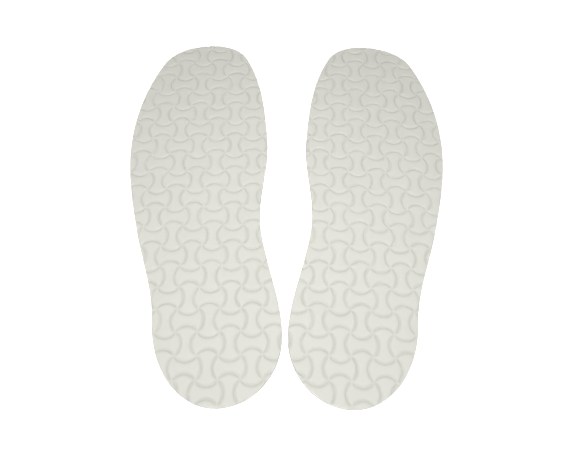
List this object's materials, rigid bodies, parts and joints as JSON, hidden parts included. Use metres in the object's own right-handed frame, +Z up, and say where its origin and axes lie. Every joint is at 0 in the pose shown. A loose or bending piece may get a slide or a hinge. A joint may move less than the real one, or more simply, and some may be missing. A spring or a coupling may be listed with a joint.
{
  "type": "cushioned insole",
  "caption": "Flat cushioned insoles, left and right, with a raised bone pattern on the foot side, bonded foam plies and a knitted lining, bending across the ball of the foot.",
  "frame": {"origin": "on the floor under the middle of the pair, half way along it and half way between the two insoles", "axes": "+Z up, out of the foot side; +Y towards the toes; +X towards the right insole"},
  "size_m": [0.2128, 0.261, 0.0062],
  "materials": {
    "face_foam": "satin",
    "core_foam": "matte",
    "lining_knit": "matte"
  },
  "bodies": {
    "left_heel_length": {"left_lining_rear": "lining_knit", "left_core_rear": "core_foam", "left_face_rear": "face_foam"},
    "left_toe_length": {"left_lining_fore": "lining_knit", "left_core_fore": "core_foam", "left_face_fore": "face_foam"},
    "right_heel_length": {"right_lining_rear": "lining_knit", "right_core_rear": "core_foam", "right_face_rear": "face_foam"},
    "right_toe_length": {"right_lining_fore": "lining_knit", "right_core_fore": "core_foam", "right_face_fore": "face_foam"}
  },
  "joints": [
    {"name": "left_flex", "type": "hinge", "parent": "left_heel_length", "child": "left_toe_length", "pos_m": [-0.04964, 0.03451, 0.0062], "axis": [0.9563, 0.2924, 0], "range_deg": [0, 50], "stiffness_Nm_per_rad": 0.08},
    {"name": "right_lift", "type": "slide", "parent": "left_heel_length", "child": "right_heel_length", "axis": [0, 0, 1], "range_m": [0, 0.08]},
    {"name": "right_flex", "type": "hinge", "parent": "right_heel_length", "child": "right_toe_length", "pos_m": [0.04964, 0.03451, 0.0062], "axis": [0.9563, -0.2924, 0], "range_deg": [0, 50], "stiffness_Nm_per_rad": 0.08}
  ]
}
